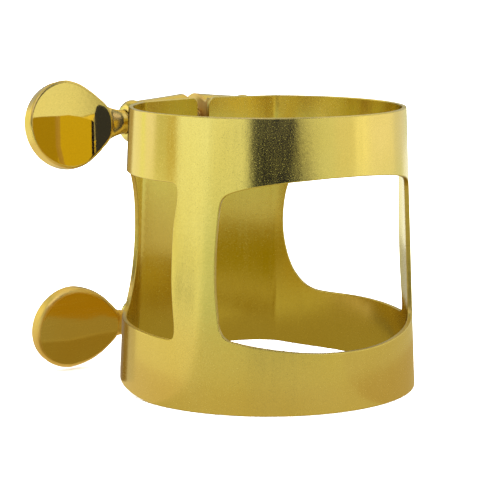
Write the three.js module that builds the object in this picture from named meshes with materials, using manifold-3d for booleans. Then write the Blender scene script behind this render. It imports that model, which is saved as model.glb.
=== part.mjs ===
import * as THREE from "three";
import { mergeVertices } from "three/addons/utils/BufferGeometryUtils.js";
import Module from "manifold-3d";

// Saxophone ligature: a split, tapered sheet-brass band with three windows,
// four turned lugs brazed to the flat panels beside the split, and two thumb
// screws that draw the split closed on the mouthpiece and reed.
// Millimetres. +Z is the bore axis, large end down at z = 0. The split faces
// +Y, the thumb paddles stand out to -X. The origin lies on the large-end rim,
// mid-thickness, on the symmetry plane x = 0, opposite the split.
// Pieces are built with the bore axis at x = y = 0 and moved by their group.

// --------------------------------------------------------- driving dimensions
const SHEET_THICKNESS = 0.45;
const LARGE_RADIUS = 14.0;       // outer radius at z = 0
const SMALL_RADIUS = 12.93;      // outer radius at z = HEIGHT
const HEIGHT = 26.3;
const TAPER = (LARGE_RADIUS - SMALL_RADIUS) / HEIGHT;
const BORE_AXIS_Y = LARGE_RADIUS - SHEET_THICKNESS / 2;
const SPLIT_GAP = 1.3;           // free gap between the two panel edges

// y and z of each screw axis; length and half-width in mm, tilt in degrees
const SCREWS = [
  { level: "upper", y: 14.5, z: 24.0, paddle: { length: 10.37, halfWidth: 4.2, tilt: 11 } },
  { level: "lower", y: 14.35, z: 4.2, paddle: { length: 10.12, halfWidth: 4.0, tilt: -9 } },
];

// ------------------------------------------------------------------ materials
const brass = ({ name, color, roughness }) => {
  const material = new THREE.MeshStandardMaterial({ color, roughness, metalness: 1 });
  material.name = name;
  return material;
};

const BAND_BRASS = brass({ name: "band_lacquered_brass", color: 0xd2b85a, roughness: 0.32 });
const LUG_BRASS = brass({ name: "lug_brass", color: 0xd6c07a, roughness: 0.3 });
const PADDLE_BRASS = brass({ name: "paddle_brass", color: 0xd09a28, roughness: 0.16 });
const SCREW_BRASS = brass({ name: "screw_brass", color: 0xc09a48, roughness: 0.35 });

// -------------------------------------------------------------- solid helpers
const manifold = await Module();
manifold.setup();

const WELD_DISTANCE = 1e-5;
const { degToRad } = THREE.MathUtils;

const toSolid = (geometry) => {
  const bare = geometry.clone();
  bare.deleteAttribute("normal");
  bare.deleteAttribute("uv");
  const welded = mergeVertices(bare, WELD_DISTANCE);
  return new manifold.Manifold(new manifold.Mesh({
    numProp: 3,
    vertProperties: new Float32Array(welded.attributes.position.array),
    triVerts: new Uint32Array(welded.index.array),
  }));
};

const toGeometry = (solid) => {
  const mesh = solid.getMesh();
  const positions = new Float32Array(mesh.vertProperties);
  const geometry = new THREE.BufferGeometry();
  geometry.setAttribute("position", new THREE.BufferAttribute(positions, 3));
  geometry.setIndex(new THREE.BufferAttribute(new Uint32Array(mesh.triVerts), 1));
  geometry.computeVertexNormals();
  return geometry;
};

const solidFromFaces = (points, faces) => {
  const geometry = new THREE.BufferGeometry();
  geometry.setAttribute("position", new THREE.Float32BufferAttribute(points.flat(), 3));
  geometry.setIndex(faces.flat());
  return toSolid(geometry);
};

// Capped solid through rings, each a 3D copy of one counter-clockwise outline.
// flip turns the faces over, for rings whose outline axes and stacking
// direction form a left-handed set.
const loft = (outline, rings, flip = false) => {
  const count = outline.length;
  const lastRing = (rings.length - 1) * count;
  const contour = outline.map(([u, v]) => new THREE.Vector2(u, v));
  const faces = [];
  for (const [a, b, c] of THREE.ShapeUtils.triangulateShape(contour, [])) {
    faces.push([a, c, b], [lastRing + a, lastRing + b, lastRing + c]);
  }
  for (let start = 0; start < lastRing; start += count) {
    for (let i = 0; i < count; i += 1) {
      const here = start + i;
      const next = start + ((i + 1) % count);
      faces.push([here, next, next + count], [here, next + count, here + count]);
    }
  }
  const facing = flip ? faces.map(([a, b, c]) => [a, c, b]) : faces;
  return solidFromFaces(rings.flat(), facing);
};

// Solid turned about the X axis; the profile is [x, radius] with x rising.
const turned = (profile, segments) => {
  const points = profile.map(([x, radius]) => new THREE.Vector2(radius, x));
  const geometry = new THREE.LatheGeometry(points, segments);
  geometry.rotateZ(-Math.PI / 2);
  return toSolid(geometry);
};

// Points along a centripetal curve through [u, v] control points.
const curvePoints = (controls, divisions, closed) => {
  const vectors = controls.map(([u, v]) => new THREE.Vector3(u, v, 0));
  const curve = new THREE.CatmullRomCurve3(vectors, closed, "centripetal");
  return curve.getPoints(divisions).map((point) => [point.x, point.y]);
};

// ----------------------------------------------------------------- band blank
// Angles round the band start at the split (+Y) and are positive towards +X.
const CREASE_ANGLE = degToRad(36);  // nominal angle where flat panel meets round wall
const FACET_STEP_DEG = 3;
const WALL_FACETS = Math.round((360 - 2 * THREE.MathUtils.radToDeg(CREASE_ANGLE)) / FACET_STEP_DEG);
const GABLE = 0.9435;               // outer wall at the split plane, as a share of the radius
const PANEL_SLOPE = (GABLE - Math.cos(CREASE_ANGLE)) / Math.sin(CREASE_ANGLE); // fall per unit of x

// Closed [x, y] outline of the wall face that lies `depth` inside the outer one.
const wallOutline = (outerRadius, depth) => {
  const radius = outerRadius - depth;
  const apex = GABLE * outerRadius - depth * Math.hypot(1, PANEL_SLOPE);
  // the panel line y = apex - slope x meets the circle where a x^2 + b x + c = 0
  const a = 1 + PANEL_SLOPE * PANEL_SLOPE;
  const b = -2 * apex * PANEL_SLOPE;
  const c = apex * apex - radius * radius;
  const creaseX = (-b + Math.sqrt(b * b - 4 * a * c)) / (2 * a);
  const crease = Math.atan2(creaseX, apex - PANEL_SLOPE * creaseX);
  const points = [[0, apex]];
  for (let i = 0; i <= WALL_FACETS; i += 1) {
    const angle = crease + ((2 * Math.PI - 2 * crease) * i) / WALL_FACETS;
    points.push([radius * Math.sin(angle), radius * Math.cos(angle)]);
  }
  return points;
};

const bandBlank = () => {
  const points = [];
  const addRing = (outerRadius, z, depth) => {
    const start = points.length;
    for (const [x, y] of wallOutline(outerRadius, depth)) points.push([x, y, z]);
    return start;
  };
  const outerLow = addRing(LARGE_RADIUS, 0, 0);
  const outerHigh = addRing(SMALL_RADIUS, HEIGHT, 0);
  const innerLow = addRing(LARGE_RADIUS, 0, SHEET_THICKNESS);
  const innerHigh = addRing(SMALL_RADIUS, HEIGHT, SHEET_THICKNESS);
  const count = outerHigh - outerLow;
  const faces = [];
  const quad = (a, b, c, d) => faces.push([a, b, c], [a, c, d]);
  for (let i = 0; i < count; i += 1) {
    const j = (i + 1) % count;
    quad(outerLow + j, outerLow + i, outerHigh + i, outerHigh + j);
    quad(innerLow + i, innerLow + j, innerHigh + j, innerHigh + i);
    quad(outerHigh + i, innerHigh + i, innerHigh + j, outerHigh + j);
    quad(outerLow + j, innerLow + j, innerLow + i, outerLow + i);
  }
  return solidFromFaces(points, faces);
};

// --------------------------------------------------------------- band cutters
const CUTTER_RADII = [5, 40];    // start and end of a radial cutter, clear of the wall
const CUT_OVERSHOOT = 1;         // run of a cutter past the rims

// Cutter running radially outwards through a contour of [degrees, z].
const radialCutter = (contour) => {
  const isClockwise = THREE.ShapeUtils.area(contour.map(([x, y]) => ({ x, y }))) < 0;
  const outline = isClockwise ? [...contour].reverse() : contour;
  const rings = CUTTER_RADII.map((radius) => outline.map(([degrees, z]) => {
    const angle = degToRad(degrees);
    return [radius * Math.sin(angle), radius * Math.cos(angle), z];
  }));
  return loft(outline, rings, true);
};

const mirrorAngle = ([degrees, z]) => [-degrees, z];

const POINTS_PER_SPAN = 2;
const smoothLoop = (controls) => (
  curvePoints(controls, controls.length * POINTS_PER_SPAN, true).slice(0, -1)
);

// Half of the window opposite the split, top to bottom: [degrees from -Y, z].
const FRONT_WINDOW_HALF = [
  [0, 20.9], [8, 20.88], [16, 20.78], [25, 20.62], [32, 20.41], [38, 20.2], [43, 19.95],
  [46.6, 19.68], [49.3, 19.35], [50.8, 18.85], [51.4, 18.2], [51.9, 17.1], [52.5, 15.4],
  [52.85, 13.3], [52.7, 11.4], [52.1, 9.7], [51.4, 8.4], [50.8, 7.6], [49.4, 7.0],
  [47.2, 6.66], [43, 6.42], [36, 6.12], [29, 5.88], [20, 5.62], [10, 5.44], [0, 5.4],
];

const frontWindow = () => {
  const otherHalf = FRONT_WINDOW_HALF.slice(1, -1).reverse().map(mirrorAngle);
  return smoothLoop([...FRONT_WINDOW_HALF, ...otherHalf])
    .map(([degrees, z]) => [180 - degrees, z]);
};

// Window on the +X side: [degrees from the split, z]. The -X one is its mirror.
const SIDE_WINDOW = [
  [109.6, 18.4], [108.5, 16.85], [107.95, 14.9], [107.8, 12.7], [107.95, 11.0], [108.7, 9.1],
  [109.5, 7.5], [109.5, 6.8], [109.0, 6.42], [107.8, 6.24], [105.5, 6.2], [97, 6.26],
  [87, 6.37], [76, 6.46], [66, 6.5], [58.5, 6.56], [53.3, 6.75], [49.2, 7.25], [46.2, 8.0],
  [43.4, 9.1], [41.2, 10.7], [40.0, 12.3], [39.7, 13.6], [40.0, 15.0], [41.1, 16.6],
  [43.2, 18.0], [46.4, 19.2], [50.8, 19.95], [56.5, 20.25], [66, 20.3], [76, 20.3],
  [87, 20.3], [97, 20.3], [105.5, 20.3], [108, 20.24], [109.4, 20.02], [109.9, 19.6],
];

// The large-end edge rises towards the split: [degrees from the split, z], one half.
const EDGE_RISE = 1.45;
const RISE_END_DEG = 100;
const RISE_HALF = [
  [0, EDGE_RISE], [14, EDGE_RISE], [24, 1.44], [30, 1.38], [36, 1.21], [42, 0.99], [48, 0.83],
  [56, 0.7], [64, 0.62], [72, 0.52], [80, 0.37], [88, 0.2], [95, 0.05], [RISE_END_DEG, -0.07],
];
const RISE_DIVISIONS = 40;
const RISE_Z_WEIGHT = 10;        // weight of z against degrees in the curve's spacing
const RISE_BASE_STEP_DEG = 8;

const edgeRise = () => {
  const weighted = RISE_HALF.map(([degrees, z]) => [degrees, RISE_Z_WEIGHT * z]);
  const half = curvePoints(weighted, RISE_DIVISIONS, false)
    .map(([degrees, z]) => [degrees, z / RISE_Z_WEIGHT]);
  const loop = [...half.slice(1).reverse().map(mirrorAngle), ...half];
  for (let degrees = RISE_END_DEG; degrees >= -RISE_END_DEG; degrees -= RISE_BASE_STEP_DEG) {
    loop.push([degrees, -CUT_OVERSHOOT]);
  }
  return loop;
};

// Slot through the wall that leaves rounded panel corners at both ends.
const PANEL_CORNER_RADIUS = 0.8;
const SLOT_OUTER_Y = 20;
const SLOT_DEPTH = 12;

const splitCutter = () => {
  const radius = PANEL_CORNER_RADIUS;
  const half = SPLIT_GAP / 2;
  const wide = half + radius;
  const quarter = Math.PI / 2;
  const shape = new THREE.Shape();
  shape.moveTo(-wide, -CUT_OVERSHOOT);
  shape.lineTo(wide, -CUT_OVERSHOOT);
  shape.lineTo(wide, EDGE_RISE);
  shape.absarc(wide, EDGE_RISE + radius, radius, -quarter, -Math.PI, true);
  shape.lineTo(half, HEIGHT - radius);
  shape.absarc(wide, HEIGHT - radius, radius, Math.PI, quarter, true);
  shape.lineTo(wide, HEIGHT + CUT_OVERSHOOT);
  shape.lineTo(-wide, HEIGHT + CUT_OVERSHOOT);
  shape.lineTo(-wide, HEIGHT);
  shape.absarc(-wide, HEIGHT - radius, radius, quarter, 0, true);
  shape.lineTo(-half, EDGE_RISE + radius);
  shape.absarc(-wide, EDGE_RISE + radius, radius, 0, -quarter, true);
  shape.lineTo(-wide, -CUT_OVERSHOOT);
  const geometry = new THREE.ExtrudeGeometry(shape, {
    depth: SLOT_DEPTH,
    bevelEnabled: false,
    curveSegments: 8,
  });
  geometry.rotateX(Math.PI / 2);   // the shape's y becomes z, depth runs to -y
  geometry.translate(0, SLOT_OUTER_Y, 0);
  return toSolid(geometry);
};

const band = () => {
  const sideWindow = smoothLoop(SIDE_WINDOW);
  const cutouts = [frontWindow(), sideWindow, sideWindow.map(mirrorAngle), edgeRise()];
  let solid = bandBlank();
  for (const contour of cutouts) solid = solid.subtract(radialCutter(contour));
  return toGeometry(solid.subtract(splitCutter()));
};

// ----------------------------------------------------------------------- lugs
const LUG_INNER_X = SPLIT_GAP / 2;  // inner end, flush with the panel edge
const LUG_OUTER_X = 7.3;
const LUG_SEGMENTS = 32;
const HOLE_RADIUS_PLAIN = 1.14;     // clearance hole, paddle side
const HOLE_RADIUS_TAPPED = 1.07;    // tapped hole, far side
const HOLE_CUTTER_LENGTH = 20;

// [x, radius]: rounded inner end, tapering barrel, groove, rounded end collar
const LUG_PROFILE = [
  [LUG_INNER_X, 0], [LUG_INNER_X, 2.33], [LUG_INNER_X + 0.05, 2.43], [LUG_INNER_X + 0.17, 2.5],
  [5.43, 2.02], [5.68, 1.94], [5.83, 1.92], [5.97, 1.94], [6.13, 2.02], [6.33, 2.09],
  [6.53, 2.1], [6.73, 2.08], [6.95, 1.96], [7.13, 1.74], [7.25, 1.46], [LUG_OUTER_X, 1.26],
  [LUG_OUTER_X, 0],
];

// Half section of the braze fillet under a barrel: [half-width along z, y from its axis].
const FILLET_HALF = [
  [1.25, 0], [1.6, -1.1], [1.66, -1.8], [1.8, -2.4], [2.08, -3.0], [2.4, -3.4], [2.4, -5],
];
const FILLET_START_X = 0.95;
const FILLET_END_X = 5.3;

const boxBelow = (width, depth) => {
  const geometry = new THREE.BoxGeometry(width, width, depth);
  geometry.translate(0, 0, -depth / 2);
  return geometry;
};

// Everything inside the outer plane of the +X panel.
const panelInside = () => {
  const normal = new THREE.Vector3(PANEL_SLOPE, 1, GABLE * TAPER).normalize();
  const up = new THREE.Vector3(0, 0, 1);
  const geometry = boxBelow(80, 40);
  geometry.applyQuaternion(new THREE.Quaternion().setFromUnitVectors(up, normal));
  geometry.translate(0, GABLE * LARGE_RADIUS, 0);
  return toSolid(geometry);
};

const fillet = (y, z) => {
  const otherHalf = [...FILLET_HALF].reverse().map(([width, drop]) => [-width, drop]);
  const outline = [...FILLET_HALF, ...otherHalf].map(([u, v]) => new THREE.Vector2(u, v));
  const geometry = new THREE.ExtrudeGeometry(new THREE.Shape(outline), {
    depth: FILLET_END_X - FILLET_START_X,
    bevelEnabled: false,
  });
  geometry.rotateY(Math.PI / 2);   // depth runs along +x
  geometry.translate(FILLET_START_X, y, z);
  // the barrel may stand past the rims, the fillet may not
  const betweenRims = boxBelow(60, HEIGHT).translate(0, 0, HEIGHT);
  return toSolid(geometry).intersect(toSolid(betweenRims));
};

// Built on the +X side, then mirrored when side is -1.
const lug = ({ y, z }, side, holeRadius) => {
  const hole = new THREE.CylinderGeometry(
    holeRadius, holeRadius, HOLE_CUTTER_LENGTH, LUG_SEGMENTS,
  );
  hole.rotateZ(Math.PI / 2);
  hole.translate(0, y, z);
  const solid = turned(LUG_PROFILE, LUG_SEGMENTS)
    .translate([0, y, z])
    .add(fillet(y, z))
    .subtract(toSolid(hole))
    .subtract(panelInside());
  return toGeometry(side < 0 ? solid.mirror([1, 0, 0]) : solid);
};

// --------------------------------------------------------------- thumb screws
const SCREW_SEGMENTS = 40;
const SHOULDER = 7.38;           // neck shoulder, from the split plane towards -X
const SHANK_RADIUS = 1.0;
const SHANK_TIP_X = 6.2;
const SHANK_CHAMFER = 0.3;
const SHANK_CLEARANCE = 0.02;    // shank stops this short of the shoulder

const shank = ({ y, z }) => {
  const startX = -(SHOULDER - SHANK_CLEARANCE);
  const profile = [
    [startX, 0],
    [startX, SHANK_RADIUS],
    [SHANK_TIP_X - SHANK_CHAMFER, SHANK_RADIUS],
    [SHANK_TIP_X, SHANK_RADIUS - SHANK_CHAMFER],
    [SHANK_TIP_X, 0],
  ];
  return toGeometry(turned(profile, SCREW_SEGMENTS).translate([0, y, z]));
};

const NECK_RADIUS = 1.18;
// [x, radius] of the turned neck, from its rounded end inside the paddle
const NECK_PROFILE = [
  [-9.9, 0], [-9.82, 0.5], [-9.6, 0.86], [-9.25, 1.1], [-8.8, 1.24], [-8.4, 1.25],
  [-7.95, NECK_RADIUS], [-SHOULDER, 1.1], [-SHOULDER, 0],
];

// Paddle edge ahead of its round end: [distance from the split plane, half-width].
const PADDLE_ROOT = [[8.3, NECK_RADIUS * 0.9], [8.65, 1.27], [9.05, 1.5], [9.5, 1.84]];
// The flare is given for this half-width and scales with the paddle's own.
const FLARE_REFERENCE = 4.13;
const PADDLE_FLARE = [[10.05, 2.24], [10.75, 2.82], [11.45, 3.34], [12.25, 3.8], [13.0, 4.05]];
const END_ARC_STEPS = 10;
const PADDLE_DIVISIONS = 34;

// Paddle sections through the thickness: [height, inset of the edge].
const PADDLE_HALF_THICKNESS = 0.8;
const PADDLE_LEVELS = [
  [-PADDLE_HALF_THICKNESS, 0.36],
  [-PADDLE_HALF_THICKNESS + 0.1, 0.16],
  [-PADDLE_HALF_THICKNESS + 0.34, 0.03],
  [PADDLE_HALF_THICKNESS - 0.34, 0.03],
  [PADDLE_HALF_THICKNESS - 0.1, 0.16],
  [PADDLE_HALF_THICKNESS, 0.36],
];

// Counter-clockwise teardrop, closed by the straight edge at the neck.
const paddleOutline = ({ length, halfWidth }) => {
  const arcCentre = SHOULDER + length - halfWidth;
  const scale = halfWidth / FLARE_REFERENCE;
  const controls = [
    ...PADDLE_ROOT,
    ...PADDLE_FLARE.map(([distance, width]) => [distance, width * scale]),
  ];
  for (let i = 0; i <= END_ARC_STEPS; i += 1) {
    const angle = Math.PI / 2 - (Math.PI / 2) * (i / END_ARC_STEPS);
    controls.push([arcCentre + halfWidth * Math.cos(angle), halfWidth * Math.sin(angle)]);
  }
  const half = curvePoints(controls, PADDLE_DIVISIONS, false);
  half[half.length - 1][1] = 0;    // tip exactly on the centre line
  const otherHalf = half.slice(0, -1).reverse().map(([distance, width]) => [distance, -width]);
  return [...half, ...otherHalf].reverse();
};

// Moves each point of a counter-clockwise loop inwards, square to its neighbours' chord.
const inset = (loop, amount) => loop.map(([u, v], i) => {
  const before = loop[(i + loop.length - 1) % loop.length];
  const after = loop[(i + 1) % loop.length];
  const chordU = after[0] - before[0];
  const chordV = after[1] - before[1];
  const chord = Math.hypot(chordU, chordV);
  return [u - (amount * chordV) / chord, v + (amount * chordU) / chord];
});

const thumbPaddle = ({ y, z, paddle }) => {
  const outline = paddleOutline(paddle);
  const rings = PADDLE_LEVELS.map(([height, amount]) => (
    inset(outline, amount).map(([distance, width]) => [-distance, height, width])
  ));
  const solid = loft(outline, rings)
    .add(turned(NECK_PROFILE, SCREW_SEGMENTS))
    .rotate([-paddle.tilt, 0, 0])
    .translate([0, y, z]);
  return toGeometry(solid);
};

// ------------------------------------------------------------------- assembly
const ligature = new THREE.Group();
const onBore = new THREE.Group();
onBore.position.set(0, BORE_AXIS_Y, 0);
ligature.add(onBore);

const place = (name, geometry, material) => {
  const mesh = new THREE.Mesh(geometry, material);
  mesh.name = name;
  onBore.add(mesh);
};

place("band", band(), BAND_BRASS);
for (const screw of SCREWS) {
  place(`${screw.level}_left_lug`, lug(screw, -1, HOLE_RADIUS_PLAIN), LUG_BRASS);
  place(`${screw.level}_right_lug`, lug(screw, 1, HOLE_RADIUS_TAPPED), LUG_BRASS);
}
for (const screw of SCREWS) {
  place(`${screw.level}_screw_shank`, shank(screw), SCREW_BRASS);
}
for (const screw of SCREWS) {
  place(`${screw.level}_thumb_paddle`, thumbPaddle(screw), PADDLE_BRASS);
}

export default ligature;
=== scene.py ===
"""A tapered sheet-brass clamp band, split down one side and closed by two thumb screws.

Lengths are millimetres unless a comment says otherwise; meshes are scaled to metres as they
are made. z is the bore axis, with the large end at z = 0. The split faces +y, the thumb
paddles stand out to -x, and the lugs that carry the screws sit on either side of the split.
"""

import math

import bpy
import numpy as np
from mathutils import Matrix, Vector
from mathutils.geometry import delaunay_2d_cdt


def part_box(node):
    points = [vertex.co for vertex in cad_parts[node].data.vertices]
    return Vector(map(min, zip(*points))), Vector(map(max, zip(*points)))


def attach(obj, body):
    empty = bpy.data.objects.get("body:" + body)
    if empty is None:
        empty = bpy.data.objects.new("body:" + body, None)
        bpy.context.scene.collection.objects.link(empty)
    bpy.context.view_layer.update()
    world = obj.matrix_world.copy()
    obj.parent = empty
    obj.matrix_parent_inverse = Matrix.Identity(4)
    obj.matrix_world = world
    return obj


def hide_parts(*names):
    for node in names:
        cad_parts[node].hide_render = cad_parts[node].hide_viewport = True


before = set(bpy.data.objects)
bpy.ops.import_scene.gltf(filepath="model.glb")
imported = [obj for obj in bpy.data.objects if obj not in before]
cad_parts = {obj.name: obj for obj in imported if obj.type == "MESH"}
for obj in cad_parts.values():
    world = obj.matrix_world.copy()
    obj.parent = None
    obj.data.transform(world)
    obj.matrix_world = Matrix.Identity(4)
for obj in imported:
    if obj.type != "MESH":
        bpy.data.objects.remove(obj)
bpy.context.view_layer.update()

MM = 0.001
SHEET_T = 0.45
R_LARGE, R_SMALL, HEIGHT = 14.0, 12.93, 26.3
BORE_Y = R_LARGE - SHEET_T / 2      # the middle of the sheet touches y = 0 at the large end
TAPER = (R_LARGE - R_SMALL) / HEIGHT
SPLIT_GAP = 1.3

# Two flat back panels meet in a gable at the split and run into the round wall at CREASE.
CREASE = math.radians(36)
GABLE = 0.9435                      # gable height over wall radius
SLOPE = (GABLE - math.cos(CREASE)) / math.sin(CREASE)

MIRROR_X = np.array([-1, 1, 1])


def screw_axis(level):
    """The y and z of a screw's axis, which runs along x."""
    lo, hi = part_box(level + "_screw_shank")
    return (lo.y + hi.y) / 2 / MM, (lo.z + hi.z) / 2 / MM


# ------------------------------------------------------------------ mesh kit
def make_mesh(name, verts, quads, tris=(), normals=None, attributes=None):
    """A smooth mesh object from arrays, with its own vertex normals and point attributes."""
    tris = np.asarray(tris, np.int64).reshape(-1, 3)
    quads = np.asarray(quads, np.int64).reshape(-1, 4)
    mesh = bpy.data.meshes.new(name)
    mesh.vertices.add(len(verts))
    mesh.vertices.foreach_set("co", (np.asarray(verts) * MM).astype(np.float32).ravel())
    loops = np.concatenate([tris.ravel(), quads.ravel()]).astype(np.int32)
    mesh.loops.add(len(loops))
    mesh.loops.foreach_set("vertex_index", loops)
    count = len(tris) + len(quads)
    mesh.polygons.add(count)
    starts = np.concatenate([np.arange(len(tris)) * 3, len(tris) * 3 + np.arange(len(quads)) * 4])
    mesh.polygons.foreach_set("loop_start", starts.astype(np.int32))
    mesh.polygons.foreach_set("use_smooth", np.ones(count, bool))
    for key, values in (attributes or {}).items():
        layer = mesh.attributes.new(key, "FLOAT", "POINT")
        layer.data.foreach_set("value", np.asarray(values, np.float32))
    mesh.update(calc_edges=True)
    mesh.validate()
    if normals is not None:
        length = np.linalg.norm(normals, axis=1, keepdims=True)
        unit = np.asarray(normals) / np.maximum(length, 1e-9)
        mesh.normals_split_custom_set_from_vertices(unit.tolist())
    return link_object(name, mesh)


def link_object(name, data):
    ob = bpy.data.objects.new(name, data)
    bpy.context.scene.collection.objects.link(ob)
    return ob


def smin(a, b, blend):
    """Minimum, rounded where the two come within blend of each other."""
    share = np.clip(0.5 + 0.5 * (b - a) / blend, 0, 1)
    return b * (1 - share) + a * share - blend * share * (1 - share)


def smax(a, b, blend):
    return -smin(-a, -b, blend)


def gradient(field, points, reach=0.004):
    slopes = np.empty_like(points)
    for i in range(3):
        shift = np.zeros(3)
        shift[i] = reach
        slopes[:, i] = (field(points + shift) - field(points - shift)) / (2 * reach)
    return slopes


def surface_net(field, low, high, step):
    """Closed quad mesh of field = 0 (negative inside), pulled on to the exact surface.

    Gives the points, the quads and the outward gradient at each point.
    """
    low, high = np.array(low, float), np.array(high, float)
    size = np.ceil((high - low) / step).astype(int) + 1
    axes = [low[i] + step * np.arange(size[i]) for i in range(3)]
    grid = np.meshgrid(*axes, indexing="ij")
    value = field(np.stack([g.ravel() for g in grid], -1)).reshape(size)
    solid = value < 0
    cells = tuple(size - 1)

    def at_corner(array, corner):
        i, j, k = corner
        return array[i:i + cells[0], j:j + cells[1], k:k + cells[2]]

    # one point per crossed cell, at the mean of its edge crossings
    total = np.zeros(cells + (3,))
    count = np.zeros(cells)
    for corner in [(i, j, k) for i in (0, 1) for j in (0, 1) for k in (0, 1)]:
        for axis in range(3):
            if corner[axis]:
                continue
            far = list(corner)
            far[axis] = 1
            value_near, value_far = at_corner(value, corner), at_corner(value, far)
            cross = at_corner(solid, corner) != at_corner(solid, far)
            share = np.where(cross, value_near / np.where(cross, value_near - value_far, 1), 0)
            spot = np.zeros(cells + (3,)) + corner
            spot[..., axis] += share
            total += np.where(cross[..., None], spot, 0)
            count += cross
    used = count > 0
    index = -np.ones(cells, np.int64)
    index[used] = np.arange(used.sum())
    base = np.stack(np.nonzero(used), -1)
    points = low + step * (base + total[used] / count[used][:, None])

    # one quad round each crossed grid edge
    quads = []
    for axis in range(3):
        u, v = (axis + 1) % 3, (axis + 2) % 3
        near = solid.take(np.arange(size[axis] - 1), axis)
        far = solid.take(np.arange(1, size[axis]), axis)
        edge = np.stack(np.nonzero(near != far), -1)
        edge = edge[(edge[:, u] > 0) & (edge[:, v] > 0)
                    & (edge[:, u] < size[u] - 1) & (edge[:, v] < size[v] - 1)]
        leaving = near[tuple(edge.T)]
        ring = []
        for step_u, step_v in ((-1, -1), (0, -1), (0, 0), (-1, 0)):
            cell = edge.copy()
            cell[:, u] += step_u
            cell[:, v] += step_v
            ring.append(index[tuple(cell.T)])
        quad = np.stack(ring, -1)
        quads.append(np.where(leaving[:, None], quad, quad[:, ::-1]))
    quads = np.concatenate(quads)

    for _ in range(5):
        slope = gradient(field, points)
        scale = field(points) / np.maximum((slope * slope).sum(1), 1e-6)
        move = scale[:, None] * slope
        length = np.linalg.norm(move, axis=1, keepdims=True)
        points = points - move * np.minimum(1, 0.4 * step / np.maximum(length, 1e-9))
    return points, quads, gradient(field, points)


def wobble(points, scale, seed):
    """Smooth repeatable noise in about -1..1, from a few crossed sines."""
    total = np.zeros(len(points))
    for i in range(4):
        way = np.array([math.sin(seed * 3.1 + i * 2.3), math.cos(seed * 1.7 + i * 1.9),
                        math.sin(seed * 0.9 + i * 3.7)])
        total += np.sin(points @ (way * scale * (1 + 0.37 * i)) + seed * 5.3 + i * 1.1)
    return total / 4


# --------------------------------------------------------------------- band
# The sheet is laid out flat as (u, z): u runs round the wall from opposite the split,
# positive towards +x.
ARC = 13.4                  # developed length per radian
CORNER_R = 0.8              # corners beside the split
CREASE_SOFT = 0.13          # how softly the back panels run into the round wall
EDGE_R = 0.1                # rounding of the cut edges
ROUND_ANGLES = np.radians([0, 22.5, 45, 67.5, 90])  # 0 is the wall of the cut, 90 the face
GRID = 0.42                 # spacing of points over the faces
RIM_STEP, WINDOW_STEP = 0.22, 0.2       # spacing of points along the contours
CURVE_STEPS = 8             # curve points per table point

# Front window, +x half from top to bottom: degrees from opposite the split, z
FRONT_HALF = [
    (0, 20.9), (8, 20.88), (16, 20.78), (25, 20.62), (32, 20.41), (38, 20.2), (43, 19.95),
    (46.6, 19.68), (49.3, 19.35), (50.8, 18.85), (51.4, 18.2), (51.9, 17.1), (52.5, 15.4),
    (52.85, 13.3), (52.7, 11.4), (52.1, 9.7), (51.4, 8.4), (50.8, 7.6), (49.4, 7.0),
    (47.2, 6.66), (43, 6.42), (36, 6.12), (29, 5.88), (20, 5.62), (10, 5.44), (0, 5.4)]
# Side window: degrees from the split, z
SIDE = [
    (109.6, 18.4), (108.5, 16.85), (107.95, 14.9), (107.8, 12.7), (107.95, 11.0), (108.7, 9.1),
    (109.5, 7.5), (109.5, 6.8), (109.0, 6.42), (107.8, 6.24), (105.5, 6.2), (97, 6.26),
    (87, 6.37), (76, 6.46), (66, 6.5), (58.5, 6.56), (53.3, 6.75), (49.2, 7.25), (46.2, 8.0),
    (43.4, 9.1), (41.2, 10.7), (40.0, 12.3), (39.7, 13.6), (40.0, 15.0), (41.1, 16.6),
    (43.2, 18.0), (46.4, 19.2), (50.8, 19.95), (56.5, 20.25), (66, 20.3), (76, 20.3),
    (87, 20.3), (97, 20.3), (105.5, 20.3), (108, 20.24), (109.4, 20.02), (109.9, 19.6)]
# The large-end edge rises towards the split: degrees from the split, z
BACK_RISE = 1.45
RISE = [
    (0, BACK_RISE), (14, BACK_RISE), (24, 1.44), (30, 1.38), (36, 1.21), (42, 0.99), (48, 0.83),
    (56, 0.7), (64, 0.62), (72, 0.52), (80, 0.37), (88, 0.2), (95, 0.05), (99, 0.0), (104, 0.0)]


def radius_at(z):
    return R_LARGE - TAPER * z


def wall(beta, z, inner):
    """Point on the outer or inner face at angle beta from the split and height z."""
    turn = np.abs(beta)
    radius = radius_at(z)
    apex = GABLE * radius
    if inner:
        apex = apex - SHEET_T * math.hypot(1, SLOPE)
        radius = radius - SHEET_T
    panel = apex / np.maximum(np.cos(turn) + SLOPE * np.sin(turn), 0.05)
    panel = np.where(turn > 1.5, 99.0, panel)       # no panel on the front half
    reach = smin(radius, panel, CREASE_SOFT)
    return np.stack([reach * np.sin(beta), BORE_Y + reach * np.cos(beta), z], -1)


def on_wall(uz, inner):
    """Developed points to the sheet's face."""
    theta = uz[:, 0] / ARC
    beta = np.where(theta >= 0, math.pi - theta, -math.pi - theta)
    return wall(beta, uz[:, 1], inner)


def wall_frame(uz, inner):
    """Unit directions round the wall, up the wall and outward from the bore."""
    reach = 0.004

    def along(shift):
        return (on_wall(uz + shift, inner) - on_wall(uz - shift, inner)) / (2 * reach)

    around, up = along(np.array([reach, 0])), along(np.array([0, reach]))
    around /= np.linalg.norm(around, axis=1, keepdims=True)
    outward = np.cross(around, up)
    outward /= np.linalg.norm(outward, axis=1, keepdims=True)
    up = up - (up * outward).sum(1, keepdims=True) * outward
    up /= np.linalg.norm(up, axis=1, keepdims=True)
    return around, up, outward


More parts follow.
